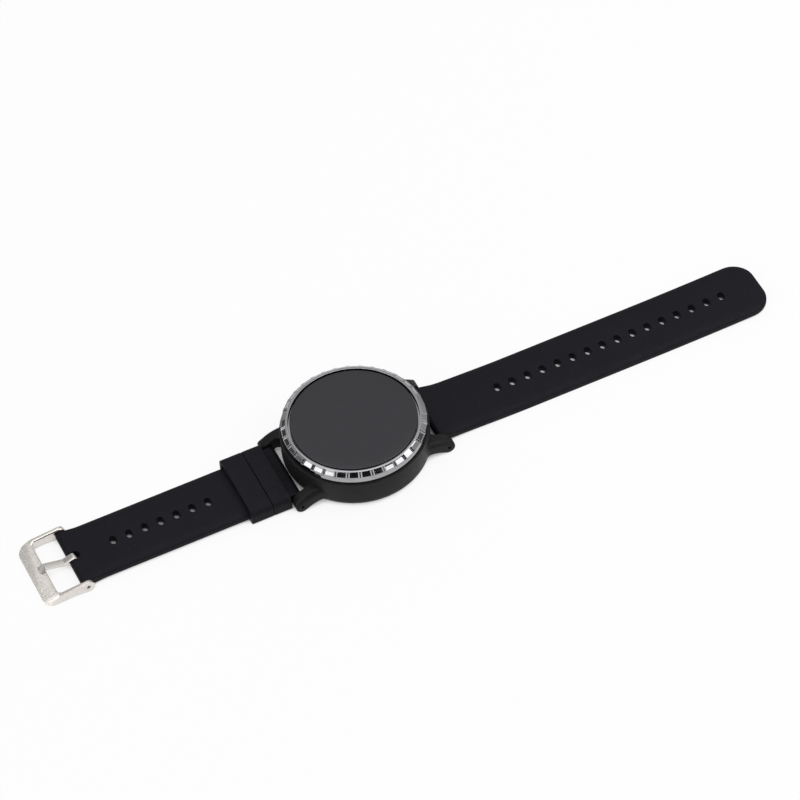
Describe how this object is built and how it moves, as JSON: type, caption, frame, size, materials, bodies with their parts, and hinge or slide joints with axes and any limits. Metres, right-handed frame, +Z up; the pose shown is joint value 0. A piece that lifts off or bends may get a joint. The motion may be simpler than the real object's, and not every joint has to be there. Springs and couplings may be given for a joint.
{
  "type": "metronome wristwatch",
  "caption": "Round wrist-worn metronome with a plain touch face, a ribbed tempo wheel turning round it, and a silicone strap with a pin buckle, lying open and flat.",
  "frame": {"origin": "centre of the case back's outer face, which stands on the table, on the axis of the round case", "axes": "+X along the long strap, +Y across the strap, +Z up through the face"},
  "size_m": [0.2612, 0.0484, 0.0154],
  "materials": {
    "case_metal": "fine matte black",
    "back_plastic": "matte black",
    "gasket_rubber": "soft",
    "screw_steel": "turned",
    "contact_gold": "gold plated",
    "wheel_metal": "dark chrome, polished edges",
    "magnet_dark": "matte",
    "glide_white": "smooth",
    "pin_steel": "ground",
    "spring_steel": "drawn",
    "face_panel": "satin dark panel",
    "tape_black": "adhesive",
    "guide_clear": "frosted clear",
    "light_lens": "clear lens",
    "board_green": "solder resist",
    "chip_black": "moulded",
    "frame_metal": "pressed",
    "battery_foil": "foil pouch",
    "foam_black": "closed-cell foam",
    "motor_steel": "drawn can",
    "cap_plastic": "moulded",
    "bushing_bronze": "sintered",
    "winding_copper": "enamelled wire",
    "weight_metal": "sintered heavy metal",
    "strap_silicone": "matte silicone",
    "keeper_silicone": "matte silicone",
    "buckle_steel": "brushed"
  },
  "bodies": {
    "case": {"case_body": "case_metal", "case_back": "back_plastic", "back_gasket": "gasket_rubber", "back_screws": "screw_steel", "charge_contacts": "contact_gold", "glide_ring": "glide_white", "click_spring": "spring_steel", "face_disc": "face_panel", "face_tape": "tape_black", "light_guide": "guide_clear", "light_sources": "light_lens", "main_board": "board_green", "board_chips": "chip_black", "board_screws": "screw_steel", "inner_frame": "frame_metal", "battery": "battery_foil", "battery_foam": "foam_black", "motor_can": "motor_steel", "motor_end_cap": "cap_plastic", "motor_bushing": "bushing_bronze", "motor_boot": "gasket_rubber", "long_bar_tube": "pin_steel", "long_bar_spring": "spring_steel", "short_bar_tube": "pin_steel", "short_bar_spring": "spring_steel"},
    "wheel": {"tempo_wheel": "wheel_metal", "wheel_magnet": "magnet_dark"},
    "plunger": {"click_plunger": "pin_steel"},
    "rotor": {"motor_shaft": "pin_steel", "motor_armature": "winding_copper", "eccentric_weight": "weight_metal"},
    "long_strap": {"long_strap": "strap_silicone"},
    "short_strap": {"short_strap": "strap_silicone"},
    "inner_keeper": {"inner_keeper": "keeper_silicone"},
    "outer_keeper": {"outer_keeper": "keeper_silicone"},
    "buckle": {"buckle_frame": "buckle_steel", "buckle_pin": "pin_steel"},
    "tongue": {"buckle_tongue": "buckle_steel"},
    "long_near_tip": {"long_tip_near": "pin_steel"},
    "long_far_tip": {"long_tip_far": "pin_steel"},
    "short_near_tip": {"short_tip_near": "pin_steel"},
    "short_far_tip": {"short_tip_far": "pin_steel"}
  },
  "joints": [
    {"name": "wheel_turn", "type": "hinge", "parent": "case", "child": "wheel", "pos_m": [0, 0, 0.0129], "axis": [0, 0, 1], "continuous": true},
    {"name": "click_press", "type": "slide", "parent": "case", "child": "plunger", "axis": [0, 0, -1], "range_m": [0, 0.0004], "stiffness_N_per_m": 40, "springref_m": -0.004, "deforming": ["click_spring"]},
    {"name": "motor_spin", "type": "hinge", "parent": "case", "child": "rotor", "pos_m": [0.0106, 0, 0.0052], "axis": [0, 1, 0], "continuous": true},
    {"name": "long_strap_swing", "type": "hinge", "parent": "case", "child": "long_strap", "pos_m": [0.026, 0, 0.0026], "axis": [0, 1, 0], "range_deg": [-30, 80]},
    {"name": "short_strap_swing", "type": "hinge", "parent": "case", "child": "short_strap", "pos_m": [-0.026, 0, 0.0026], "axis": [0, -1, 0], "range_deg": [-30, 80]},
    {"name": "inner_keeper_slide", "type": "slide", "parent": "short_strap", "child": "inner_keeper", "axis": [-1, 0, 0], "range_m": [0, 0.024]},
    {"name": "outer_keeper_slide", "type": "slide", "parent": "inner_keeper", "child": "outer_keeper", "axis": [-1, 0, 0], "range_m": [0, 0.024]},
    {"name": "buckle_swing", "type": "hinge", "parent": "short_strap", "child": "buckle", "pos_m": [-0.0992, 0, 0.0022], "axis": [0, 1, 0], "range_deg": [-30, 50]},
    {"name": "tongue_swing", "type": "hinge", "parent": "buckle", "child": "tongue", "pos_m": [-0.0992, 0, 0.0022], "axis": [0, 1, 0], "range_deg": [0, 60]},
    {"name": "long_near_tip_press", "type": "slide", "parent": "case", "child": "long_near_tip", "axis": [0, 1, 0], "range_m": [0, 0.0022], "stiffness_N_per_m": 400, "springref_m": -0.004},
    {"name": "long_far_tip_press", "type": "slide", "parent": "case", "child": "long_far_tip", "axis": [0, -1, 0], "range_m": [0, 0.0022], "stiffness_N_per_m": 400, "springref_m": -0.004},
    {"name": "short_near_tip_press", "type": "slide", "parent": "case", "child": "short_near_tip", "axis": [0, 1, 0], "range_m": [0, 0.0022], "stiffness_N_per_m": 400, "springref_m": -0.004},
    {"name": "short_far_tip_press", "type": "slide", "parent": "case", "child": "short_far_tip", "axis": [0, -1, 0], "range_m": [0, 0.0022], "stiffness_N_per_m": 400, "springref_m": -0.004}
  ]
}
